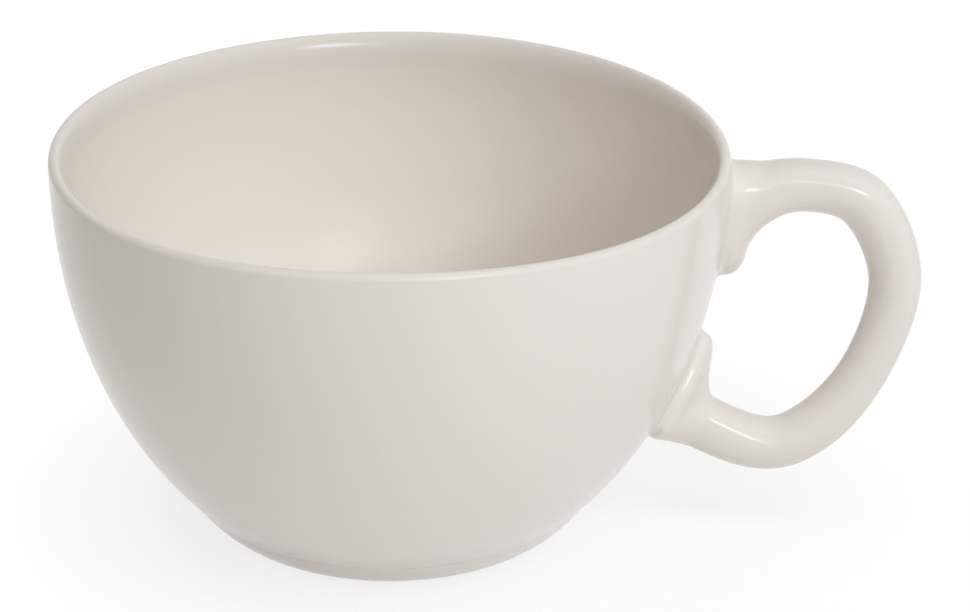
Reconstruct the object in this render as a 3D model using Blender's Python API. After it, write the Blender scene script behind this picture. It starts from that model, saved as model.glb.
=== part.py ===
"""A wide stoneware cappuccino mug: an oval bowl on a foot ring, with a rolled coil handle.

Units are metres, +Z is up, and the mug stands on Z = 0. The handle points along +X. The origin is in the
middle of the mug's outer box, so the bowl's own axis lies a little way along -X.
"""
import math

import bmesh
import bpy
from mathutils import Matrix, Vector

MM = 0.001

# Bowl: an oval side under a half-round lip, with a flat floor
BOWL_HEIGHT = 65.3 * MM
RIM_DIAMETER = 110.0 * MM
OVAL_RUNOUT = 8.7 * MM  # how far under the table the oval side would close
OVAL_POWER = 2.19  # 2 is a plain ellipse, and more is a fuller belly
LIP_THICKNESS = 2.8 * MM
LIP_ROUNDING = 1.9 * MM  # height of the half-round edge
LIP_TAPER = 22.0 * MM  # depth over which the lip thickens into the wall
WALL_THICKNESS = 4.0 * MM
FLOOR_THICKNESS = 3.5 * MM  # over the foot ring's seat
FLOOR_BLEND = 6.0 * MM  # softness of the turn from wall to floor

# Foot ring: seated under the bowl, around a low boss
FOOT_DIAMETER = 52.4 * MM  # outer edge of the face it stands on
FOOT_ROLL = 4.6 * MM  # how far the rolled-under edge reaches beyond that face
FOOT_HEIGHT = 6.0 * MM
FOOT_WIDTH = 6.0 * MM  # width of the face it stands on
BOSS_DEPTH = 1.5 * MM  # how far the bowl's boss reaches down into the ring

# Handle: a round coil that leaves the wall, loops out and comes back in from below
ROD_DIAMETER = 8.7 * MM
GRIP_REACH = 27.5 * MM  # coil's centre beyond the rim at its outermost point
CROWN_RISE = 1.9 * MM  # coil's highest centre above the upper joint
LOWER_JOINT_HEIGHT = 21.4 * MM
BELLY_DROP = 6.7 * MM  # coil's lowest centre below the lower joint
HANDLE_LEAN = math.radians(5.0)  # hand-made lean of the loop about its outward axis

# The loop's shape at six places: distance out as a share of the reach, height as a share from belly to
# crown, and thickness as a share of the coil's diameter
CROWN = (0.455, 1.0, 1.0)
UPPER_BEND = (0.805, 0.925, 1.05)
GRIP = (1.0, 0.65, 0.985)
LOWER_BEND = (0.867, 0.32, 0.93)
HEEL = (0.57, 0.075, 1.02)
BELLY = (0.212, 0.0, 1.03)

# Slip collars: soft clay worked around the coil's roots, each with a tail along the wall
COLLAR_WALL = 0.6 * MM  # thickness at the thin end
COLLAR_LENGTH = 7.5 * MM  # how far it runs along the coil
UPPER_COLLAR_WIDTH = 13.0 * MM
LOWER_COLLAR_WIDTH = 17.0 * MM
BARE_STRIP = 7.2 * MM  # wall left bare between the two tails
UPPER_TAIL_SHARE = 0.47  # share of the covered wall that the upper tail takes
TAIL_THICKNESS = 2.1 * MM  # step from the wall to the collar's spread edge
COLLAR_FLARE = 1.9  # 1 is a straight cone, and more flares closer to the wall

# Clearances
SEAT_GAP = 0.3 * MM  # between any two pieces that are luted together
LIP_CLEARANCE = 0.5 * MM  # between the upper collar and the lip's rounding

# Fineness
TURN_STEPS = 64
SIDE_STEPS = 16
LIP_STEPS = 6
FOOT_STEPS = 6
PATH_STEPS = 6  # for each stretch between two points of the loop
COIL_RESOLUTION = 6
COLLAR_SIDES = 24
COLLAR_RINGS = 7
SMOOTH_ANGLE = math.radians(40.0)
MERGE_DISTANCE = 0.00001

# Worked out from the sizes above
RIM_RADIUS = RIM_DIAMETER / 2
OVAL_DEPTH = BOWL_HEIGHT + OVAL_RUNOUT
LIP_START = BOWL_HEIGHT - LIP_ROUNDING
FOOT_RADIUS = FOOT_DIAMETER / 2
FOOT_INNER_RADIUS = FOOT_RADIUS - FOOT_WIDTH
FOOT_TOP = FOOT_HEIGHT - SEAT_GAP
FLOOR_HEIGHT = FOOT_HEIGHT + FLOOR_THICKNESS
ROD_RADIUS = ROD_DIAMETER / 2
BORE_RADIUS = ROD_RADIUS + SEAT_GAP
COLLAR_RADIUS = BORE_RADIUS + COLLAR_WALL
UPPER_JOINT_HEIGHT = LIP_START - LIP_CLEARANCE - COLLAR_RADIUS
CROWN_HEIGHT = UPPER_JOINT_HEIGHT + CROWN_RISE
BELLY_HEIGHT = LOWER_JOINT_HEIGHT - BELLY_DROP
LEAN_PIVOT = (CROWN_HEIGHT + BELLY_HEIGHT) / 2
COVERED_WALL = UPPER_JOINT_HEIGHT - LOWER_JOINT_HEIGHT - BARE_STRIP
UPPER_TAIL = COVERED_WALL * UPPER_TAIL_SHARE
LOWER_TAIL = COVERED_WALL - UPPER_TAIL

# Colour and roughness of the finishes
GLAZE = (0.78, 0.74, 0.69, 1.0)
FOOT_GLAZE = (0.74, 0.69, 0.63, 1.0)
GLAZE_ROUGHNESS = 0.3


def clear_scene():
    for leftover in list(bpy.data.objects):
        bpy.data.objects.remove(leftover, do_unlink=True)


def make_glaze(name, colour):
    material = bpy.data.materials.new(name)
    material.use_nodes = True
    shader = material.node_tree.nodes["Principled BSDF"]
    shader.inputs["Base Color"].default_value = colour
    shader.inputs["Roughness"].default_value = GLAZE_ROUGHNESS
    shader.inputs["Metallic"].default_value = 0.0
    return material


def add_piece(name, data, material, parent):
    data.materials.append(material)
    piece = bpy.data.objects.new(name, data)
    piece.parent = parent
    bpy.context.scene.collection.objects.link(piece)
    return piece


# Bowl and foot ring

def wall_radius(height):
    """Outer radius of the bowl's oval side at a height above the table."""
    depth = (BOWL_HEIGHT - height) / OVAL_DEPTH
    return RIM_RADIUS * math.sqrt(1.0 - depth ** OVAL_POWER)


def wall_normal(height):
    """Outward and upward parts of the oval side's normal at a height above the table."""
    depth = (BOWL_HEIGHT - height) / OVAL_DEPTH
    outward = 2.0 * wall_radius(height) / RIM_RADIUS ** 2
    downward = OVAL_POWER * depth ** (OVAL_POWER - 1.0) / OVAL_DEPTH
    length = math.hypot(outward, downward)
    return outward / length, -downward / length


def wall_thickness(height):
    share = min(1.0, (LIP_START - height) / LIP_TAPER)
    ease = share * share * (3.0 - 2.0 * share)
    return LIP_THICKNESS + (WALL_THICKNESS - LIP_THICKNESS) * ease


def above_floor(height):
    """Height of the inside surface, eased into the flat floor."""
    overlap = max(0.0, 1.0 - abs(height - FLOOR_HEIGHT) / FLOOR_BLEND)
    return max(height, FLOOR_HEIGHT) + FLOOR_BLEND * overlap ** 2 / 4.0


def inside_point(height):
    outward, upward = wall_normal(height)
    thickness = wall_thickness(height)
    return wall_radius(height) - thickness * outward, above_floor(height - thickness * upward)


def bowl_profile():
    """Half section from the inside floor up, over the lip and down the outside to the underside."""
    inside = [inside_point(LIP_START * step / SIDE_STEPS) for step in range(SIDE_STEPS + 1)]
    lip_inner = inside[-1][0]
    lip_outer = wall_radius(LIP_START)
    lip = []
    for step in range(1, LIP_STEPS):
        turn = math.pi * step / LIP_STEPS
        radius = (lip_inner + lip_outer - (lip_outer - lip_inner) * math.cos(turn)) / 2
        lip.append((radius, LIP_START + LIP_ROUNDING * math.sin(turn)))
    outside = []
    for step in range(SIDE_STEPS + 1):
        height = LIP_START + (FOOT_HEIGHT - LIP_START) * step / SIDE_STEPS
        outside.append((wall_radius(height), height))
    boss_radius = FOOT_INNER_RADIUS - SEAT_GAP
    boss_face = FOOT_HEIGHT - BOSS_DEPTH
    underside = [(boss_radius, FOOT_HEIGHT), (boss_radius, boss_face), (0.0, boss_face)]
    return [(0.0, FLOOR_HEIGHT)] + inside + lip + outside + underside


def foot_profile():
    """Section of the foot ring: the bowl's side carried down to the table and rolled under."""
    top_radius = wall_radius(FOOT_TOP)
    corner_radius = FOOT_RADIUS + FOOT_ROLL
    roll = []
    for step in range(FOOT_STEPS + 1):
        along = step / FOOT_STEPS
        side_radius = top_radius + (corner_radius - top_radius) * along
        under_radius = corner_radius + (FOOT_RADIUS - corner_radius) * along
        radius = side_radius + (under_radius - side_radius) * along
        roll.append((radius, FOOT_TOP * (1.0 - along) ** 2))
    return roll + [(FOOT_INNER_RADIUS, 0.0), (FOOT_INNER_RADIUS, FOOT_TOP)]


def turn_profile(name, profile, closed, material, parent):
    """Turn a half section about the mug's axis."""
    points = [(radius, 0.0, height) for radius, height in profile]
    edges = [(index, index + 1) for index in range(len(points) - 1)]
    if closed:
        edges.append((len(points) - 1, 0))
    mesh = bpy.data.meshes.new(name)
    mesh.from_pydata(points, edges, [])
    piece = add_piece(name, mesh, material, parent)
    turn = piece.modifiers.new("turned on the wheel", "SCREW")
    turn.axis = "Z"
    turn.angle = math.tau
    turn.steps = TURN_STEPS
    turn.render_steps = TURN_STEPS
    turn.use_merge_vertices = True
    turn.merge_threshold = MERGE_DISTANCE
    turn.use_smooth_shade = True
    return piece


# Handle and collars

def lean_offset(height):
    """Sideways offset of the leaning loop at a height above the table."""
    return math.tan(HANDLE_LEAN) * (height - LEAN_PIVOT)


class Joint:
    """Where the coil meets the bowl's wall, and the directions of the wall there."""

    def __init__(self, height):
        self.height = height
        self.azimuth = math.asin(lean_offset(height) / wall_radius(height))
        turn = Matrix.Rotation(self.azimuth, 3, "Z")
        outward, upward = wall_normal(height)
        self.normal = turn @ Vector((outward, 0.0, upward))
        self.sideways = turn @ Vector((0.0, 1.0, 0.0))
        self.rise = outward
        self.root = self.off_wall(0.0, 0.0, 0.0)

    def off_wall(self, sideways, along, lift):
        """Point a lift above the seat gap, at distances measured over the wall from the joint."""
        height = self.height + along * self.rise
        radius = wall_radius(height)
        azimuth = self.azimuth + sideways / radius
        outward, upward = wall_normal(height)
        distance = radius + (SEAT_GAP + lift) * outward
        return Vector((
            distance * math.cos(azimuth),
            distance * math.sin(azimuth),
            height + (SEAT_GAP + lift) * upward,
        ))


def loop_point(out_share, up_share, thickness_share):
    """Place of the coil's centre, with its thickness there as a fourth number."""
    height = BELLY_HEIGHT + (CROWN_HEIGHT - BELLY_HEIGHT) * up_share
    return Vector((RIM_RADIUS + GRIP_REACH * out_share, lean_offset(height), height, thickness_share))


def run_on(neighbour, joint):
    """Knot inside the wall that makes the coil meet the wall squarely at a joint."""
    inward = 2.0 * (neighbour.xyz - joint.root).length * joint.normal
    return Vector((*(neighbour.xyz - inward), neighbour.w))


def coil_path(upper, lower):
    """Smooth centre line of the coil, square to the wall at both of its ends, with its thickness."""
    loop = [Vector((*upper.root, 1.0))]
    loop += [loop_point(*place) for place in (CROWN, UPPER_BEND, GRIP, LOWER_BEND, HEEL, BELLY)]
    loop += [Vector((*lower.root, 1.0))]
    knots = [run_on(loop[1], upper)] + loop + [run_on(loop[-2], lower)]
    path = []
    for index in range(1, len(knots) - 2):
        here = knots[index]
        there = knots[index + 1]
        leave = (there - knots[index - 1]) / 2
        arrive = (knots[index + 2] - here) / 2
        for step in range(PATH_STEPS):
            along = step / PATH_STEPS
            path.append(
                here * (2 * along ** 3 - 3 * along ** 2 + 1)
                + leave * (along ** 3 - 2 * along ** 2 + along)
                + there * (3 * along ** 2 - 2 * along ** 3)
                + arrive * (along ** 3 - along ** 2)
            )
    path.append(loop[-1])
    return path


def make_handle(path, material, parent):
    curve = bpy.data.curves.new("handle", "CURVE")
    curve.dimensions = "3D"
    curve.bevel_depth = ROD_RADIUS
    curve.bevel_resolution = COIL_RESOLUTION
    curve.use_fill_caps = True
    coil = curve.splines.new("POLY")
    coil.points.add(len(path) - 1)
    for point, place in zip(coil.points, path):
        point.co = (*place.xyz, 1.0)
        point.radius = place.w
    coil.use_smooth = True
    return add_piece("handle", curve, material, parent)


def walk_path(path, distance):
    """Place, direction and thickness at a distance along the coil's path."""
    for here, there in zip(path, path[1:]):
        span = there.xyz - here.xyz
        if distance <= span.length:
            break
        distance -= span.length
    along = here.lerp(there, distance / span.length)
    return along.xyz, span.normalized(), along.w


def make_collar(name, joint, path, width, tail, tail_sign, material, parent):
    """Flared sleeve around the coil's root, with its foot spread over the wall."""
    turns = [math.tau * side / COLLAR_SIDES for side in range(COLLAR_SIDES)]
    flare_length = COLLAR_LENGTH - TAIL_THICKNESS
    outer = []
    bore = []
    for ring in range(COLLAR_RINGS + 1):
        lift = COLLAR_LENGTH * (1.0 - ring / COLLAR_RINGS)
        centre, direction, thickness = walk_path(path, lift)
        across = (joint.sideways - direction * joint.sideways.dot(direction)).normalized()
        upright = direction.cross(across)
        flare = min(1.0, (COLLAR_LENGTH - lift) / flare_length) ** COLLAR_FLARE
        bore_radius = ROD_RADIUS * thickness + SEAT_GAP
        outer_ring = []
        bore_ring = []
        for turn in turns:
            rise = math.sin(turn)
            reach = tail if rise * tail_sign > 0 else COLLAR_RADIUS
            spread = joint.off_wall(width / 2 * math.cos(turn), reach * rise, lift)
            spoke = across * math.cos(turn) + upright * rise
            outer_ring.append((centre + spoke * (bore_radius + COLLAR_WALL)).lerp(spread, flare))
            bore_ring.append(centre + spoke * bore_radius)
        outer.append(outer_ring)
        bore.append(bore_ring)
    mouth = [(BORE_RADIUS * math.cos(turn), BORE_RADIUS * math.sin(turn)) for turn in turns]
    bore[-1] = [joint.off_wall(sideways, along, 0.0) for sideways, along in mouth]
    rings = outer + bore[::-1]

    build = bmesh.new()
    loops = []
    for ring in rings:
        corners = [build.verts.new(place) for place in ring]
        loops.append(corners)
    for ring, following in zip(loops, loops[1:] + loops[:1]):
        for side in range(COLLAR_SIDES):
            beside = (side + 1) % COLLAR_SIDES
            build.faces.new((ring[side], ring[beside], following[beside], following[side]))
    bmesh.ops.recalc_face_normals(build, faces=build.faces)
    mesh = bpy.data.meshes.new(name)
    build.to_mesh(mesh)
    build.free()
    mesh.shade_smooth()
    mesh.set_sharp_from_angle(angle=SMOOTH_ANGLE)
    return add_piece(name, mesh, material, parent)


def main():
    clear_scene()
    upper = Joint(UPPER_JOINT_HEIGHT)
    lower = Joint(LOWER_JOINT_HEIGHT)
    path = coil_path(upper, lower)

    axis = bpy.data.objects.new("mug_axis", None)
    bpy.context.scene.collection.objects.link(axis)
    handle_reach = max(place.x + ROD_RADIUS * place.w for place in path)
    axis.location.x = -(handle_reach - RIM_RADIUS) / 2

    turn_profile("bowl", bowl_profile(), False, make_glaze("bowl glaze", GLAZE), axis)
    turn_profile("foot_ring", foot_profile(), True, make_glaze("foot glaze", FOOT_GLAZE), axis)
    make_handle(path, make_glaze("handle glaze", GLAZE), axis)
    upper_glaze = make_glaze("upper collar glaze", GLAZE)
    make_collar("upper_slip_collar", upper, path, UPPER_COLLAR_WIDTH, UPPER_TAIL, -1, upper_glaze, axis)
    lower_glaze = make_glaze("lower collar glaze", GLAZE)
    make_collar("lower_slip_collar", lower, path[::-1], LOWER_COLLAR_WIDTH, LOWER_TAIL, 1, lower_glaze, axis)


main()
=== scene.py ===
"""Looks of a wide stoneware cappuccino mug: a thrown bowl, its turned foot, a rolled coil handle and the
slip that roots the coil to the wall.

Units are metres, +Z is up, the mug stands on Z = 0 and its handle points along +X. The pieces follow the
rules of the solids that they stand for, with a finer lip, coil and roots.
"""
import math

import bmesh
import bpy
from mathutils import Matrix, Quaternion, Vector


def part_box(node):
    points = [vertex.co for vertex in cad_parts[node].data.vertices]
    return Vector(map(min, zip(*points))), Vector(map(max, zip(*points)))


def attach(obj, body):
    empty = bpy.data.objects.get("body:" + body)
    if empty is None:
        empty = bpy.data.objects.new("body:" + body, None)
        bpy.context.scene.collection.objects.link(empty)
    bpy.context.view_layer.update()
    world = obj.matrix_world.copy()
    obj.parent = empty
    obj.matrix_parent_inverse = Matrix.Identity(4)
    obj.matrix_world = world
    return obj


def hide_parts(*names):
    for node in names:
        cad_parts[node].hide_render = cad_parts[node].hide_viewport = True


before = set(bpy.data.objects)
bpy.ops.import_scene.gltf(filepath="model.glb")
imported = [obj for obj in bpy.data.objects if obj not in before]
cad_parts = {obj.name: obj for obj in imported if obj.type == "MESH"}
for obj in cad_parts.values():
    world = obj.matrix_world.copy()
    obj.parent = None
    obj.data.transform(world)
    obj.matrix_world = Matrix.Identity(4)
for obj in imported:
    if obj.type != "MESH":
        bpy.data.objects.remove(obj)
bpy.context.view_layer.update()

MM = 0.001

# Bowl and foot, from the frame
BOWL_LOW, BOWL_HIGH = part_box("bowl")
FOOT_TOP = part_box("foot_ring")[1].z
AXIS = Vector(((BOWL_LOW.x + BOWL_HIGH.x) / 2, 0.0, 0.0))
RIM_RADIUS = (BOWL_HIGH.x - BOWL_LOW.x) / 2
BOWL_HEIGHT = BOWL_HIGH.z
BOSS_FACE = BOWL_LOW.z  # underside of the bowl's floor, inside the foot ring

# Bowl: an oval side under a thin lip, with a flat floor
OVAL_RUNOUT = 8.7 * MM  # how far below the table the oval would close
OVAL_POWER = 2.19  # 2 gives an ellipse, more a fuller belly
OVAL_DEPTH = BOWL_HEIGHT + OVAL_RUNOUT
LIP_THICKNESS = 3.05 * MM
LIP_EDGE = 1.0 * MM  # the tighter rounding on the lip's outside
LIP_ROUNDING = 6.0 * MM  # height of the wider rounding on its inside
LIP_ROUNDING_WIDTH = 2.0 * MM
LIP_START = BOWL_HEIGHT - LIP_ROUNDING
LIP_GLOSS = 3.0 * MM  # height below the rim where the glossy lip turns into the duller inside
LIP_TAPER = 22.0 * MM  # height over which the lip thickens to the wall
WALL_THICKNESS = 4.0 * MM
FLOOR_HEIGHT = 9.5 * MM  # of the inside, above the table
FLOOR_BLEND = 6.0 * MM  # height over which the inside eases into the floor

# Waver of the hand-thrown rim: waves around it, their height in millimetres, and their phase in degrees,
# counted from the camera's side towards the handle
RIM_WAVER = ((1, 0.08, -115.0), (2, 0.31, 0.0), (3, 0.27, 25.0), (4, 0.08, 0.0))
WAVER_START = 40.0 * MM  # height where the waver comes in

# Foot: the side carried down and rolled under, around a glazed recess
SEAT_GAP = 0.3 * MM
SEAM_HEIGHT = FOOT_TOP + SEAT_GAP / 2
SEAM_GROOVE = 0.03 * MM  # depth of the turning line where foot and bowl meet
SEAM_LINE = 0.25 * MM  # height of that line's flanks
SEAM_EASE = 2.85 * MM  # height over which the side eases into the steeper foot
SEAM_FULLNESS = 0.43 * MM  # how far the side fills out there
FOOT_RADIUS = 26.2 * MM
FOOT_WIDTH = 6.0 * MM
FOOT_INNER_RADIUS = FOOT_RADIUS - FOOT_WIDTH
FOOT_ROUNDING = 0.9 * MM

# Coil handle: the loop's shares are out from the rim, up from belly to crown, and of the coil's thickness
ROD = 4.35  # radius of the coil in millimetres
ROD_RADIUS = ROD * MM
ROD_POWER = 0.84  # squares the coil's section a little, from a circle at 1
GRIP_POWER = 1.12  # draws its inner half, where the fingers lie, in to a blunt wedge
GRIP_EASE = 16.0 * MM  # length from each root over which that wedge comes in
GRIP_REACH = 27.5 * MM  # from the rim out to the furthest centre of the loop
UPPER_ROOT_HEIGHT = 57.65 * MM
LOWER_ROOT_HEIGHT = 21.2 * MM
CROWN_HEIGHT = 59.25 * MM
BELLY_HEIGHT = 14.7 * MM
LEAN_PIVOT = (CROWN_HEIGHT + BELLY_HEIGHT) / 2  # height about which the loop leans
HANDLE_LEAN = math.radians(5.0)
UPPER_ROOT_SWELL = 1.11  # share of the coil's thickness at the root
CROWN = (0.455, 1.0, 0.97)
UPPER_BEND = (0.81, 0.93, 1.035)
GRIP = (1.0, 0.654, 0.985)
LOWER_BEND = (0.867, 0.322, 0.925)
HEEL = (0.57, 0.075, 0.995)
BELLY = (0.212, -0.001, 1.01)
LOWER_ROOT_SWELL = 1.02

# Slip roots: sections of the clay that flares from the coil onto the wall, as (out, lift) in millimetres.
# Each is three curves of four points that share their ends: the flare from the coil, its shoulder, and the
# fillet onto the wall.
CURVE_STARTS = (0, 3, 6)
UPPER_ROOT_LENGTH = 9.2
UPPER_ROOT_UP = (
    (ROD, UPPER_ROOT_LENGTH), (ROD, 7.7), (5.5, 5.2), (5.35, 2.4),
    (5.32, 1.9), (5.3, 1.5), (5.3, 1.1),
    (5.3, 0.5), (5.4, 0.05), (6.2, -0.02),
)
UPPER_ROOT_DOWN = (
    (ROD, UPPER_ROOT_LENGTH), (ROD, 7.2), (4.6, 4.5), (9.5, 4.3),
    (11.6, 4.2), (13.2, 3.4), (13.6, 1.8),
    (13.8, 0.9), (13.8, 0.1), (15.2, -0.02),
)
UPPER_ROOT_SIDE = (
    (ROD, UPPER_ROOT_LENGTH), (ROD, 6.0), (4.7, 3.6), (5.2, 2.4),
    (5.45, 1.8), (5.6, 1.4), (5.75, 1.0),
    (6.05, 0.2), (7.0, 0.02), (9.5, -0.02),
)
UPPER_TAIL_POWER = 0.7  # below 1 a tail's outline on the wall is squared to a tongue, above 1 it is pointed
LOWER_ROOT_LENGTH = 8.0
LOWER_ROOT_UP = (
    (ROD, LOWER_ROOT_LENGTH), (ROD, 6.3), (6.4, 4.9), (10.0, 4.05),
    (12.6, 3.44), (14.6, 2.9), (14.9, 1.6),
    (15.1, 0.73), (15.4, 0.08), (17.8, -0.02),
)
LOWER_ROOT_DOWN = (
    (ROD, LOWER_ROOT_LENGTH), (ROD, 6.6), (4.8, 4.4), (5.1, 2.6),
    (5.2, 2.0), (5.2, 1.5), (5.2, 1.1),
    (5.2, 0.4), (5.4, 0.05), (6.4, -0.02),
)
LOWER_ROOT_SIDE = (
    (ROD, LOWER_ROOT_LENGTH), (ROD, 5.4), (5.8, 4.0), (7.0, 3.0),
    (7.8, 2.33), (8.5, 1.9), (8.45, 1.2),
    (8.4, 0.5), (8.6, 0.05), (12.5, -0.02),
)
LOWER_TAIL_POWER = 1.5

# Fineness
TURN_STEPS = 256
SIDE_STEPS = 96
LIP_STEPS = 24
EDGE_ROUND_STEPS = 12
ROLL_STEPS = 24
ROUND_STEPS = 6
PATH_STEPS = 28
COIL_STEPS = 196
COIL_SIDES = 96
FLARE_STEPS = 40
EDGE_STEPS = 18
MERGE_DISTANCE = 0.000001
SMOOTH_ANGLE = math.radians(50.0)  # a sharper edge stays crisp

# Glaze: colours, shine and roughness of the coat, of the duller lining poured inside, whose paler colour is
# painted light in the bowl's shade, and of the bare clay
GLAZE_LOW = "E1DAD4"
GLAZE_HIGH = "E5DED9"
GLAZE_IOR = 1.5
GLAZE_SHINE = 0.36
GLAZE_SMOOTHEST = 0.17
GLAZE_ROUGHEST = 0.2
# Painted light: the lining's colours are paler than the coat's, to lighten the shade inside the bowl
LINING_PAINTED_LIGHT_LOW = "E9E2DB"
LINING_PAINTED_LIGHT_HIGH = "EDE6E0"
LINING_SHINE = 0.15
LINING_ROUGHNESS = 0.265
LINING_EASE = 10.0 * MM  # radius times the inward part of the normal, past which all is the duller, paler lining with its painted light
CLAY_LOW = "B9A48C"
CLAY_HIGH = "D3C2AC"
CLAY_ROUGHNESS = 0.85

# Glaze patterns
CLOUD_SIZE = 24.0 * MM
GRAIN_SIZE = 0.5 * MM  # drawn coarse enough to show
GRAIN_SHARE = 0.4  # of the grain in the colour, beside the clouds
PEEL_SIZE = 2.6 * MM
PEEL_DEPTH = 0.012 * MM
SAND_SIZE = 0.35 * MM
RAGGED_SIZE = 3.0 * MM
RAGGED_DEPTH = 0.8 * MM  # how far the wiped edge wanders up and down
WIPED_HEIGHT = 0.75 * MM
WIPED_EDGE = 0.25 * MM  # height over which the coat thins out

# Studio
WHITE = "FFFFFF"
PAPER = "FAFAFA"
PAPER_ROUGHNESS = 0.9
PAPER_REACH = 3.0  # half the side of the paper floor
SHADOW_CORE = 0.05  # distance from the middle within which the floor shows the most of its shadow
SHADOW_EDGE = 0.085  # distance past which it is all white to the eye
SHADOW_WHITENESS = 0.8  # share of plain white in the shadow's core
ROOM_LIGHT = 0.325  # strength of the room's light on surfaces
ROOM_TINT = "FFF4E1"
LAMP_TINT = "F3FAFF"

# Soft boxes: azimuth and elevation in degrees, distance, width and height in metres, power in watts, and
# whether the glaze mirrors them
SOFT_BOXES = (
    ("highlight box", 26.6, 26.0, 0.535, 0.152, 0.049, 0.435, True),
    ("highlight wing", 11.8, 26.0, 0.489, 0.078, 0.046, 0.065, True),
    ("main box", 57.0, 40.0, 2.4, 1.2, 1.0, 14.0, False),
    ("upper box", 56.0, 64.0, 2.4, 1.2, 1.0, 14.5, False),
    ("fill box", -60.0, 78.0, 2.4, 1.2, 1.0, 6.5, False),
)

# Camera, at the photograph's viewing angle
CAMERA_PLACE = Vector((22.941, -469.55, 248.626)) * MM
CAMERA_AIM = Vector((-0.706, 6.765, 33.89)) * MM
CAMERA_ROLL = math.radians(0.526)
LENS_LENGTH = 115.89
SENSOR_WIDTH = 36.0
CLIP_START = 10.0 * MM


# Helpers

def linear(hex_colour):
    """Linear colour of an sRGB hex value such as E4DDD3."""
    parts = [int(hex_colour[start:start + 2], 16) / 255 for start in (0, 2, 4)]
    return [part / 12.92 if part <= 0.04045 else ((part + 0.055) / 1.055) ** 2.4 for part in parts] + [1.0]


def add_node(tree, kind, inputs=None, **settings):
    """Add a node with its settings. Inputs take a value, a socket, or a node for its first output."""
    made = tree.nodes.new(kind)
    for name, value in settings.items():
        setattr(made, name, value)
    for socket, value in (inputs or {}).items():
        if isinstance(value, bpy.types.Node):
            value = value.outputs[0]
        if isinstance(value, bpy.types.NodeSocket):
            tree.links.new(value, made.inputs[socket])
        else:
            made.inputs[socket].default_value = value
    return made


def link_object(name, data):
    made = bpy.data.objects.new(name, data)
    bpy.context.scene.collection.objects.link(made)
    return made


def eased(share):
    """Share from 0 to 1 that starts and ends gently."""
    return share * share * (3.0 - 2.0 * share)


def curve_point(corners, share):
    """Point of a cubic curve with four corners."""
    rest = 1.0 - share
    weights = (rest ** 3, 3 * rest * rest * share, 3 * rest * share * share, share ** 3)
    return sum((Vector(corner) * weight for corner, weight in zip(corners, weights)), Vector((0.0, 0.0)))


# Sections of the bowl and the foot, as (radius, height)

def wall_radius(height):
    """Outer radius of the bowl's oval side at a height above the table."""
    depth = (BOWL_HEIGHT - height) / OVAL_DEPTH
    return RIM_RADIUS * math.sqrt(1.0 - depth ** OVAL_POWER)


def side_radius(height):
    """Outer radius of the finished side, which fills out a little just above the foot."""
    ease = max(0.0, 1.0 - (height - SEAM_HEIGHT) / SEAM_EASE)
    return wall_radius(height) + SEAM_FULLNESS * ease ** 2


def wall_normal(height):
    """Outward and upward parts of the oval side's normal at a height above the table.

    On the oval, (radius / rim radius) ** 2 + depth ** power is 1, and the normal is that sum's slope.
    """
    depth = (BOWL_HEIGHT - height) / OVAL_DEPTH
    outward = 2.0 * wall_radius(height) / RIM_RADIUS ** 2
    downward = OVAL_POWER * depth ** (OVAL_POWER - 1.0) / OVAL_DEPTH
    length = math.hypot(outward, downward)
    return outward / length, -downward / length


def wall_thickness(height):
    share = min(1.0, (LIP_START - height) / LIP_TAPER)
    return LIP_THICKNESS + (WALL_THICKNESS - LIP_THICKNESS) * eased(share)


def above_floor(height):
    """Height of the inside surface: the higher of wall and flat floor, rounded where they cross."""
    overlap = max(0.0, 1.0 - abs(height - FLOOR_HEIGHT) / FLOOR_BLEND)
    return max(height, FLOOR_HEIGHT) + FLOOR_BLEND * overlap ** 2 / 4.0


def inside_point(height):
    """Point of the inside, square to the wall from the oval side at a height."""
    outward, upward = wall_normal(height)
    thickness = wall_thickness(height)
    return wall_radius(height) - thickness * outward, above_floor(height - thickness * upward)


def bowl_section():
    """From the inside floor up, over the lip and down the outside to the turning line and the underside."""
    inside = [inside_point(LIP_START * step / SIDE_STEPS) for step in range(SIDE_STEPS + 1)]
    lip = []
    for step in range(1, LIP_STEPS + 1):
        turn = math.pi / 2 * step / LIP_STEPS
        height = LIP_START + LIP_ROUNDING * math.sin(turn)
        inset = LIP_THICKNESS - LIP_ROUNDING_WIDTH * (1.0 - math.cos(turn))
        lip.append((wall_radius(height) - inset, height))
    highest = BOWL_HEIGHT - LIP_EDGE
    crest_radius = wall_radius(highest) - LIP_EDGE
    for step in range(EDGE_ROUND_STEPS):
        turn = math.pi / 2 * step / EDGE_ROUND_STEPS
        lip.append((crest_radius + LIP_EDGE * math.sin(turn), highest + LIP_EDGE * math.cos(turn)))
    outside = []
    lowest = SEAM_HEIGHT + SEAM_LINE
    for step in range(SIDE_STEPS + 1):
        height = highest + (lowest - highest) * step / SIDE_STEPS
        outside.append((side_radius(height), height))
    groove = [(side_radius(SEAM_HEIGHT) - SEAM_GROOVE, SEAM_HEIGHT)]
    boss_radius = FOOT_INNER_RADIUS - SEAT_GAP
    underside = [(boss_radius, SEAM_HEIGHT), (boss_radius, BOSS_FACE), (0.0, BOSS_FACE)]
    return [(0.0, FLOOR_HEIGHT)] + inside + lip + outside + groove + underside


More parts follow.
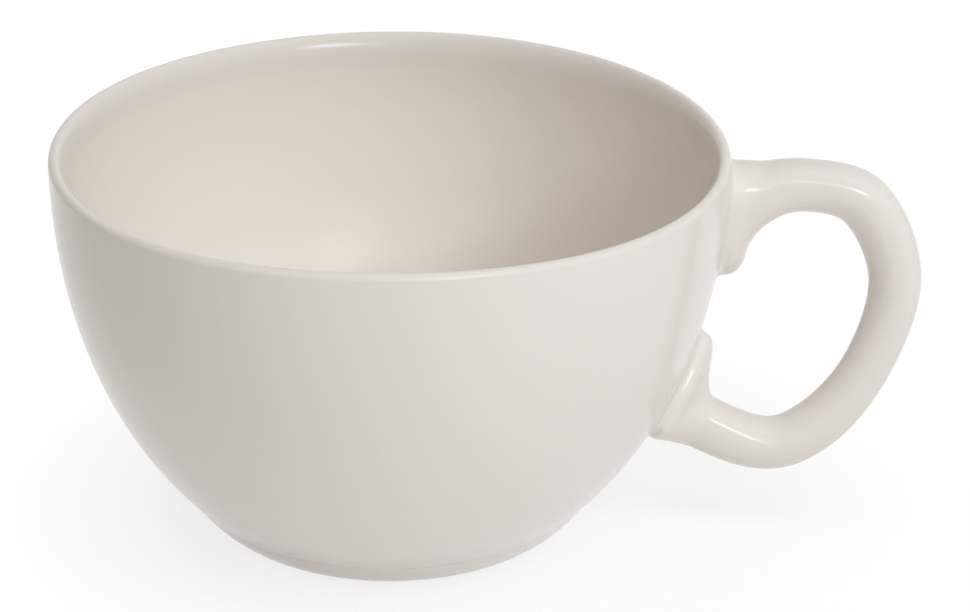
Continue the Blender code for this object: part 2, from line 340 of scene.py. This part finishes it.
def foot_section():
    """Round the foot ring: down its rolled side, under the face that it stands on, and up its inner wall."""
    seam_radius = side_radius(SEAM_HEIGHT)
    slope = (side_radius(SEAM_HEIGHT + SEAM_LINE) - seam_radius) / SEAM_LINE
    corner_radius = seam_radius - slope * SEAM_HEIGHT
    section = [(seam_radius - SEAM_GROOVE, SEAM_HEIGHT)]
    for step in range(ROLL_STEPS + 1):
        along = step / ROLL_STEPS
        side = seam_radius + (corner_radius - seam_radius) * along
        under = corner_radius + (FOOT_RADIUS - corner_radius) * along
        height = SEAM_HEIGHT * (1.0 - along) ** 2
        if height < SEAM_HEIGHT - SEAM_LINE:
            section.append((side + (under - side) * along, height))
    for step in range(ROUND_STEPS + 1):
        turn = math.pi / 2 * step / ROUND_STEPS
        radius = FOOT_INNER_RADIUS + FOOT_ROUNDING * (1.0 - math.sin(turn))
        section.append((radius, FOOT_ROUNDING * (1.0 - math.cos(turn))))
    section.append((FOOT_INNER_RADIUS, SEAM_HEIGHT))
    return section + section[:1]


# Turning on the wheel

def wheel_tree():
    """Nodes that turn a half section about the upright axis."""
    tree = bpy.data.node_groups.new("turned on the wheel", "GeometryNodeTree")
    for name, kind in (
        ("Section", "NodeSocketGeometry"),
        ("Turn Steps", "NodeSocketInt"),
        ("Merge Distance", "NodeSocketFloat"),
        ("Glaze", "NodeSocketMaterial"),
    ):
        tree.interface.new_socket(name, in_out="INPUT", socket_type=kind)
    tree.interface.new_socket("Turned", in_out="OUTPUT", socket_type="NodeSocketGeometry")
    given = tree.nodes.new("NodeGroupInput").outputs

    count = add_node(
        tree, "GeometryNodeAttributeDomainSize", {"Geometry": given["Section"]}, component="MESH",
    )
    spokes = add_node(tree, "ShaderNodeMath", {0: given["Turn Steps"], 1: 1.0}, operation="ADD")
    grid = add_node(tree, "GeometryNodeMeshGrid", {"Vertices X": spokes, "Vertices Y": count})
    index = add_node(tree, "GeometryNodeInputIndex")
    row = add_node(tree, "ShaderNodeMath", {0: index, 1: count}, operation="MODULO")
    share = add_node(tree, "ShaderNodeMath", {0: index, 1: count}, operation="DIVIDE")
    spoke = add_node(tree, "ShaderNodeMath", {0: share}, operation="FLOOR")
    step_angle = add_node(tree, "ShaderNodeMath", {0: math.tau, 1: given["Turn Steps"]}, operation="DIVIDE")
    angle = add_node(tree, "ShaderNodeMath", {0: spoke, 1: step_angle}, operation="MULTIPLY")
    place = add_node(tree, "GeometryNodeInputPosition")
    sampled = add_node(
        tree, "GeometryNodeSampleIndex", {"Geometry": given["Section"], "Value": place, "Index": row},
        data_type="FLOAT_VECTOR", domain="POINT",
    )
    turned = add_node(
        tree, "ShaderNodeVectorRotate", {"Vector": sampled, "Angle": angle}, rotation_type="Z_AXIS",
    )
    shaped = add_node(tree, "GeometryNodeSetPosition", {"Geometry": grid, "Position": turned})
    closed = add_node(
        tree, "GeometryNodeMergeByDistance", {"Geometry": shaped, "Distance": given["Merge Distance"]},
    )
    smooth = add_node(tree, "GeometryNodeSetShadeSmooth", {"Geometry": closed})
    real = add_node(tree, "GeometryNodeRealizeInstances", {"Geometry": smooth})
    glazed = add_node(tree, "GeometryNodeSetMaterial", {"Geometry": real, "Material": given["Glaze"]})
    add_node(tree, "NodeGroupOutput", {"Turned": glazed})
    return tree


def set_input(modifier, name, value):
    """Set a modifier's input by the identifier of the socket with that name."""
    for item in modifier.node_group.interface.items_tree:
        if item.name == name and item.in_out == "INPUT":
            modifier[item.identifier] = value


def turn_piece(name, section, tree, glaze):
    """Turn a half section into a closed piece on the mug's axis."""
    line = bpy.data.meshes.new(name + " section")
    points = [(radius, 0.0, height) for radius, height in section]
    line.from_pydata(points, [(start, start + 1) for start in range(len(points) - 1)], [])
    blank = link_object(name + " blank", line)
    wheel = blank.modifiers.new("wheel", "NODES")
    wheel.node_group = tree
    set_input(wheel, "Turn Steps", TURN_STEPS)
    set_input(wheel, "Merge Distance", MERGE_DISTANCE)
    set_input(wheel, "Glaze", glaze)
    graph = bpy.context.evaluated_depsgraph_get()
    mesh = bpy.data.meshes.new_from_object(blank.evaluated_get(graph), depsgraph=graph)
    bpy.data.objects.remove(blank, do_unlink=True)
    bpy.data.meshes.remove(line)
    mesh.name = name
    mesh.transform(Matrix.Translation(AXIS))
    return finish_mesh(name, mesh)


def waver_rim(mesh):
    """Let the rim rise and fall by fractions of a millimetre, as a thrown one does."""
    for corner in mesh.vertices:
        turn = math.atan2(corner.co.x - AXIS.x, -corner.co.y)
        share = max(0.0, (corner.co.z - WAVER_START) / (BOWL_HEIGHT - WAVER_START))
        ease = eased(share)
        for waves, height, phase in RIM_WAVER:
            corner.co.z += ease * height * MM * math.cos(waves * turn - math.radians(phase))
    mesh.update()


def finish_mesh(name, mesh):
    """Turn the faces outwards, shade them smooth and give the mesh its object."""
    build = bmesh.new()
    build.from_mesh(mesh)
    bmesh.ops.recalc_face_normals(build, faces=build.faces)
    build.to_mesh(mesh)
    build.free()
    mesh.shade_smooth()
    mesh.set_sharp_from_angle(angle=SMOOTH_ANGLE)
    return link_object(name, mesh)


# Coil handle and its slip roots

def lean_offset(height):
    """Sideways offset of the leaning loop at a height above the table."""
    return math.tan(HANDLE_LEAN) * (height - LEAN_PIVOT)


class Root:
    """Where the coil meets the bowl's wall, and the directions of the wall there."""

    def __init__(self, height):
        self.height = height
        self.azimuth = math.asin(lean_offset(height) / wall_radius(height))
        outward, upward = wall_normal(height)
        self.normal = Matrix.Rotation(self.azimuth, 3, "Z") @ Vector((outward, 0.0, upward))
        self.rise = outward  # height gained for each distance up the wall
        self.place = self.off_wall(0.0, 0.0, 0.0)

    def off_wall(self, sideways, along, lift):
        """Point a lift above the wall, at distances measured over the wall from the root."""
        height = self.height + along * self.rise
        radius = wall_radius(height)
        azimuth = self.azimuth + sideways / radius
        outward, upward = wall_normal(height)
        distance = radius + lift * outward
        flat = Vector((distance * math.cos(azimuth), distance * math.sin(azimuth), height + lift * upward))
        return flat + AXIS


def loop_point(out_share, up_share, thickness_share):
    """Place of the coil's centre, with its thickness there as a fourth number."""
    height = BELLY_HEIGHT + (CROWN_HEIGHT - BELLY_HEIGHT) * up_share
    reach = AXIS.x + RIM_RADIUS + GRIP_REACH * out_share
    return Vector((reach, lean_offset(height), height, thickness_share))


def run_on(neighbour, root):
    """Knot inside the wall that makes the coil meet the wall squarely at a root."""
    inward = 2.0 * (neighbour.xyz - root.place).length * root.normal
    return Vector((*(neighbour.xyz - inward), neighbour.w))


class CoilPath:
    """Smooth centre line of the coil, square to the wall at both of its ends, with its thickness.

    It is a row of cubics, each of which leaves and meets its knots along the line between their neighbours.
    """

    def __init__(self, upper, lower):
        loop = [Vector((*upper.place, UPPER_ROOT_SWELL))]
        loop += [loop_point(*place) for place in (CROWN, UPPER_BEND, GRIP, LOWER_BEND, HEEL, BELLY)]
        loop += [Vector((*lower.place, LOWER_ROOT_SWELL))]
        knots = [run_on(loop[1], upper)] + loop + [run_on(loop[-2], lower)]
        self.points = []
        for index in range(1, len(knots) - 2):
            here = knots[index]
            there = knots[index + 1]
            leave = (there - knots[index - 1]) / 2
            arrive = (knots[index + 2] - here) / 2
            for step in range(PATH_STEPS):
                along = step / PATH_STEPS
                self.points.append(
                    here * (2 * along ** 3 - 3 * along ** 2 + 1)
                    + leave * (along ** 3 - 2 * along ** 2 + along)
                    + there * (3 * along ** 2 - 2 * along ** 3)
                    + arrive * (along ** 3 - along ** 2)
                )
        self.points.append(loop[-1])
        self.distances = [0.0]
        for here, there in zip(self.points, self.points[1:]):
            self.distances.append(self.distances[-1] + (there.xyz - here.xyz).length)
        self.length = self.distances[-1]
        self.plane_normal = Vector((0.0, math.cos(HANDLE_LEAN), -math.sin(HANDLE_LEAN)))

    def direction_at(self, index):
        ahead = self.points[min(index + 1, len(self.points) - 1)]
        behind = self.points[max(index - 1, 0)]
        return (ahead.xyz - behind.xyz).normalized()

    def walk(self, distance):
        """Centre, sideways and upright directions, and thickness at a distance from the upper root."""
        index = 0
        while index < len(self.points) - 2 and self.distances[index + 1] < distance:
            index += 1
        share = (distance - self.distances[index]) / (self.distances[index + 1] - self.distances[index])
        place = self.points[index].lerp(self.points[index + 1], share)
        direction = self.direction_at(index).lerp(self.direction_at(index + 1), share).normalized()
        across = (self.plane_normal - direction * self.plane_normal.dot(direction)).normalized()
        return place.xyz, across, direction.cross(across), place.w


def side_angles():
    return [math.tau * side / COIL_SIDES for side in range(COIL_SIDES)]


def squared(part, power):
    """Part of a unit circle's point, pushed out towards a square for a power below 1."""
    return math.copysign(abs(part) ** power, part)


def loft(name, rings, material):
    """Skin a row of rings and close both ends with flat fans."""
    build = bmesh.new()
    loops = []
    for ring in rings:
        loops.append([build.verts.new(place) for place in ring])
    for ring, following in zip(loops, loops[1:]):
        for side in range(COIL_SIDES):
            beside = (side + 1) % COIL_SIDES
            build.faces.new((ring[side], ring[beside], following[beside], following[side]))
    for ring in (loops[0], loops[-1]):
        middle = sum((corner.co for corner in ring), Vector()) / COIL_SIDES
        hub = build.verts.new(middle)
        for side in range(COIL_SIDES):
            build.faces.new((ring[side], ring[(side + 1) % COIL_SIDES], hub))
    mesh = bpy.data.meshes.new(name)
    build.to_mesh(mesh)
    build.free()
    mesh.materials.append(material)
    return finish_mesh(name, mesh)


def coil_ring(path, distance, from_root):
    """Ring around the coil, drawn in on the loop's inside once it is clear of the roots."""
    centre, across, upright, thickness = path.walk(distance)
    share = min(1.0, from_root / GRIP_EASE)
    inner_power = ROD_POWER + (GRIP_POWER - ROD_POWER) * eased(share)
    ring = []
    for turn in side_angles():
        power = inner_power if math.sin(turn) < 0 else ROD_POWER
        section = across * squared(math.cos(turn), power) + upright * squared(math.sin(turn), power)
        ring.append(centre + section * ROD_RADIUS * thickness)
    return ring


def coil_piece(path, glaze):
    """The coil between its two roots."""
    start = UPPER_ROOT_LENGTH * MM
    span = path.length - start - LOWER_ROOT_LENGTH * MM
    rings = []
    for step in range(COIL_STEPS + 1):
        along = span * step / COIL_STEPS
        rings.append(coil_ring(path, start + along, min(along, span - along)))
    return loft("coil_handle", rings, glaze)


def root_piece(name, root, path, sections, from_upper, glaze):
    """Clay that flares from the coil onto the wall around a root."""
    up, down, side, tail_power = sections
    flare, *edges = CURVE_STARTS
    shares = [(flare, step / FLARE_STEPS) for step in range(FLARE_STEPS + 1)]
    shares += [(first, step / EDGE_STEPS) for first in edges for step in range(1, EDGE_STEPS + 1)]
    rings = []
    for first, share in shares:
        curves = [part[first:first + 4] for part in (up, down, side)]
        up_point, down_point, side_point = (curve_point(curve, share) * MM for curve in curves)
        onto_wall = eased(share) if first == flare else 1.0
        ring = []
        for turn in side_angles():
            rise = math.sin(turn)
            run = math.cos(turn)
            steep = up_point if rise > 0 else down_point
            lift = side_point.y * run * run + steep.y * rise * rise
            wall_power = 1.0 if (rise > 0) == from_upper else tail_power
            power = ROD_POWER + (wall_power - ROD_POWER) * onto_wall
            sideways = side_point.x * squared(run, power)
            along = steep.x * squared(rise, power)
            on_wall = root.off_wall(sideways, along, lift)
            walked = max(lift, 0.0)
            centre, across, upright, thickness = path.walk(walked if from_upper else path.length - walked)
            if not from_upper:
                upright = -upright
            swell = thickness * (1.0 - onto_wall) + onto_wall
            on_coil = centre + (across * sideways + upright * along) * swell
            ring.append(on_coil.lerp(on_wall, onto_wall))
        rings.append(ring)
    return loft(name, rings, glaze)


# Materials. A Mix node's inputs are 0 for the share, 2 and 3 for numbers, and 6 and 7 for colours; its
# output is 0 for a number and 2 for a colour.

def satin_glaze(name, lined_with_painted_light=False, wiped=False):
    """Dipped and fired stoneware glaze: a warm off-white coat, faintly clouded and finely grained, with a
    satin gloss that an orange-peel surface breaks up. A lined piece has a duller coat on its inside wall,
    where the glaze was poured, and a paler colour there that is painted light, lifting the shade inside
    the bowl. A piece that was wiped underneath shows bare, dull clay there.
    """
    material = bpy.data.materials.new(name)
    material.use_nodes = True
    tree = material.node_tree
    shader = tree.nodes["Principled BSDF"]
    shader.inputs["IOR"].default_value = GLAZE_IOR
    shader.inputs["Specular IOR Level"].default_value = GLAZE_SHINE
    place = add_node(tree, "ShaderNodeTexCoord").outputs["Object"]

    clouds = add_node(
        tree, "ShaderNodeTexNoise", {"Vector": place, "Scale": 1.0 / CLOUD_SIZE, "Detail": 2.0},
    )
    grain = add_node(
        tree, "ShaderNodeTexNoise", {"Vector": place, "Scale": 1.0 / GRAIN_SIZE, "Detail": 1.0},
    )
    tone = add_node(tree, "ShaderNodeMix", {0: GRAIN_SHARE, 2: clouds, 3: grain}, data_type="FLOAT")
    colour = add_node(
        tree, "ShaderNodeMix", {0: tone, 6: linear(GLAZE_LOW), 7: linear(GLAZE_HIGH)}, data_type="RGBA",
    ).outputs[2]
    gloss = add_node(
        tree, "ShaderNodeMapRange", {"Value": clouds, "To Min": GLAZE_SMOOTHEST, "To Max": GLAZE_ROUGHEST},
    ).outputs[0]
    peel = add_node(
        tree, "ShaderNodeTexNoise", {"Vector": place, "Scale": 1.0 / PEEL_SIZE, "Detail": 1.0},
    )
    relief = add_node(tree, "ShaderNodeBump", {"Height": peel, "Distance": PEEL_DEPTH})

    if lined_with_painted_light:
        normal = add_node(tree, "ShaderNodeTexCoord").outputs["Normal"]
        from_axis = add_node(tree, "ShaderNodeVectorMath", {0: place, 1: AXIS}, operation="SUBTRACT")
        level = add_node(
            tree, "ShaderNodeVectorMath", {0: from_axis, 1: (1.0, 1.0, 0.0)}, operation="MULTIPLY",
        )
        outward = add_node(tree, "ShaderNodeVectorMath", {0: level, 1: normal}, operation="DOT_PRODUCT")
        facing_in = add_node(
            tree, "ShaderNodeMapRange",
            {"Value": outward.outputs["Value"], "From Min": 0.0, "From Max": -LINING_EASE},
        )
        height = add_node(tree, "ShaderNodeSeparateXYZ", {0: place}).outputs["Z"]
        under_lip = add_node(
            tree, "ShaderNodeMapRange",
            {"Value": height, "From Min": BOWL_HEIGHT - LIP_GLOSS, "From Max": LIP_START},
        )
        inside = add_node(tree, "ShaderNodeMath", {0: facing_in, 1: under_lip}, operation="MULTIPLY")
        gloss = add_node(
            tree, "ShaderNodeMix", {0: inside, 2: gloss, 3: LINING_ROUGHNESS}, data_type="FLOAT",
        ).outputs[0]
        shine = add_node(
            tree, "ShaderNodeMix", {0: inside, 2: GLAZE_SHINE, 3: LINING_SHINE}, data_type="FLOAT",
        ).outputs[0]
        tree.links.new(shine, shader.inputs["Specular IOR Level"])
        # Painted light: the paler lining colour lightens the shade inside the bowl
        lining_with_painted_light = add_node(
            tree, "ShaderNodeMix", {0: tone, 6: linear(LINING_PAINTED_LIGHT_LOW), 7: linear(LINING_PAINTED_LIGHT_HIGH)},
            data_type="RGBA",
        ).outputs[2]
        colour = add_node(
            tree, "ShaderNodeMix", {0: inside, 6: colour, 7: lining_with_painted_light}, data_type="RGBA",
        ).outputs[2]

    if wiped:
        height = add_node(tree, "ShaderNodeSeparateXYZ", {0: place}).outputs["Z"]
        ragged = add_node(
            tree, "ShaderNodeTexNoise", {"Vector": place, "Scale": 1.0 / RAGGED_SIZE, "Detail": 3.0},
        )
        edge = add_node(
            tree, "ShaderNodeMath", {0: ragged, 1: RAGGED_DEPTH, 2: height}, operation="MULTIPLY_ADD",
        )
        coat = add_node(
            tree, "ShaderNodeMapRange",
            {"Value": edge, "From Min": WIPED_HEIGHT, "From Max": WIPED_HEIGHT + WIPED_EDGE},
        )
        sand = add_node(
            tree, "ShaderNodeTexNoise", {"Vector": place, "Scale": 1.0 / SAND_SIZE, "Detail": 2.0},
        )
        clay = add_node(
            tree, "ShaderNodeMix", {0: sand, 6: linear(CLAY_LOW), 7: linear(CLAY_HIGH)}, data_type="RGBA",
        ).outputs[2]
        colour = add_node(
            tree, "ShaderNodeMix", {0: coat, 6: clay, 7: colour}, data_type="RGBA",
        ).outputs[2]
        gloss = add_node(
            tree, "ShaderNodeMix", {0: coat, 2: CLAY_ROUGHNESS, 3: gloss}, data_type="FLOAT",
        ).outputs[0]

    tree.links.new(colour, shader.inputs["Base Color"])
    tree.links.new(gloss, shader.inputs["Roughness"])
    tree.links.new(relief.outputs[0], shader.inputs["Normal"])
    return material


def build_mug():
    """Make the five pieces, attach each to the root body and hide the solid that it stands for."""
    glaze = satin_glaze("satin stoneware glaze")
    # The bowl's glaze paints light on its inside wall with a paler colour there
    bowl_glaze = satin_glaze("satin stoneware glaze, poured inside, painted lighter", lined_with_painted_light=True)
    foot_glaze = satin_glaze("satin glaze over bare stoneware", wiped=True)
    tree = wheel_tree()
    bowl = turn_piece("thrown_bowl", bowl_section(), tree, bowl_glaze)
    waver_rim(bowl.data)
    foot = turn_piece("turned_foot", foot_section(), tree, foot_glaze)

    upper = Root(UPPER_ROOT_HEIGHT)
    lower = Root(LOWER_ROOT_HEIGHT)
    path = CoilPath(upper, lower)
    coil = coil_piece(path, glaze)
    upper_sections = (UPPER_ROOT_UP, UPPER_ROOT_DOWN, UPPER_ROOT_SIDE, UPPER_TAIL_POWER)
    lower_sections = (LOWER_ROOT_UP, LOWER_ROOT_DOWN, LOWER_ROOT_SIDE, LOWER_TAIL_POWER)
    upper_root = root_piece("upper_root_slip", upper, path, upper_sections, True, glaze)
    lower_root = root_piece("lower_root_slip", lower, path, lower_sections, False, glaze)

    for piece, node, slot in (
        (bowl, "bowl", "satin_glaze"),
        (foot, "foot_ring", "foot_glaze"),
        (coil, "handle", "satin_glaze"),
        (upper_root, "upper_slip_collar", "satin_glaze"),
        (lower_root, "lower_slip_collar", "satin_glaze"),
    ):
        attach(piece, "root")
        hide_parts(node)


# Studio

def seen_rays(tree):
    """1 for what the eye, reflections and glass show, and 0 for light that falls on surfaces."""
    rays = add_node(tree, "ShaderNodeLightPath").outputs
    seen = add_node(
        tree, "ShaderNodeMath", {0: rays["Is Camera Ray"], 1: rays["Is Glossy Ray"]}, operation="MAXIMUM",
    )
    return add_node(tree, "ShaderNodeMath", {0: seen, 1: rays["Is Transmission Ray"]}, operation="MAXIMUM")


def add_floor():
    """Pale paper floor that stays white to the eye and keeps a soft shadow."""
    build = bmesh.new()
    bmesh.ops.create_grid(build, x_segments=1, y_segments=1, size=PAPER_REACH)
    mesh = bpy.data.meshes.new("floor")
    build.to_mesh(mesh)
    build.free()
    material = bpy.data.materials.new("white paper sweep")
    material.use_nodes = True
    tree = material.node_tree
    paper = tree.nodes["Principled BSDF"]
    paper.inputs["Base Color"].default_value = linear(PAPER)
    paper.inputs["Roughness"].default_value = PAPER_ROUGHNESS
    paper.inputs["Specular IOR Level"].default_value = 0.0
    place = add_node(tree, "ShaderNodeTexCoord").outputs["Object"]
    distance = add_node(tree, "ShaderNodeVectorMath", {0: place}, operation="LENGTH").outputs["Value"]
    whiteness = add_node(
        tree, "ShaderNodeMapRange",
        {"Value": distance, "From Min": SHADOW_CORE, "From Max": SHADOW_EDGE, "To Min": SHADOW_WHITENESS},
    )
    share = add_node(tree, "ShaderNodeMath", {0: seen_rays(tree), 1: whiteness}, operation="MULTIPLY")
    white = add_node(tree, "ShaderNodeEmission", {"Color": linear(WHITE), "Strength": 1.0})
    mixed = add_node(tree, "ShaderNodeMixShader", {0: share, 1: paper, 2: white})
    tree.links.new(mixed.outputs[0], tree.nodes["Material Output"].inputs["Surface"])
    mesh.materials.append(material)
    floor = link_object("floor", mesh)


def add_world():
    """White room to the eye and to reflections, and a softer light on surfaces."""
    world = bpy.data.worlds.new("studio")
    bpy.context.scene.world = world
    world.use_nodes = True
    tree = world.node_tree
    sky = tree.nodes["Background"]
    seen = seen_rays(tree)
    strength = add_node(tree, "ShaderNodeMapRange", {"Value": seen, "To Min": ROOM_LIGHT, "To Max": 1.0})
    tint = add_node(
        tree, "ShaderNodeMix", {0: seen, 6: linear(ROOM_TINT), 7: linear(WHITE)}, data_type="RGBA",
    ).outputs[2]
    tree.links.new(tint, sky.inputs["Color"])
    tree.links.new(strength.outputs[0], sky.inputs["Strength"])


def add_soft_box(name, azimuth, elevation, distance, width, height, power, mirrored):
    """Soft box that faces the mug. Azimuth 0 is on the camera's side, and rises towards the handle."""
    lamp = bpy.data.lights.new(name, "AREA")
    lamp.shape = "RECTANGLE"
    lamp.size = width
    lamp.size_y = height
    lamp.energy = power
    lamp.color = linear(LAMP_TINT)[:3]
    turn = math.radians(azimuth)
    climb = math.radians(elevation)
    towards = Vector((math.sin(turn) * math.cos(climb), -math.cos(turn) * math.cos(climb), math.sin(climb)))
    holder = link_object(name, lamp)
    holder.location = towards * distance + Vector((0.0, 0.0, BOWL_HEIGHT / 2))
    holder.rotation_euler = towards.to_track_quat("Z", "Y").to_euler()
    holder.visible_glossy = mirrored


def add_camera():
    lens = bpy.data.cameras.new("camera")
    lens.lens = LENS_LENGTH
    lens.sensor_width = SENSOR_WIDTH
    lens.clip_start = CLIP_START
    camera = link_object("camera", lens)
    camera.location = CAMERA_PLACE
    turn = (CAMERA_AIM - CAMERA_PLACE).to_track_quat("-Z", "Y") @ Quaternion((0.0, 0.0, 1.0), CAMERA_ROLL)
    camera.rotation_euler = turn.to_euler()
    bpy.context.scene.camera = camera


def build_studio():
    add_floor()
    add_world()
    for soft_box in SOFT_BOXES:
        add_soft_box(*soft_box)
    add_camera()
    bpy.context.scene.view_settings.view_transform = "Standard"


build_mug()
build_studio()
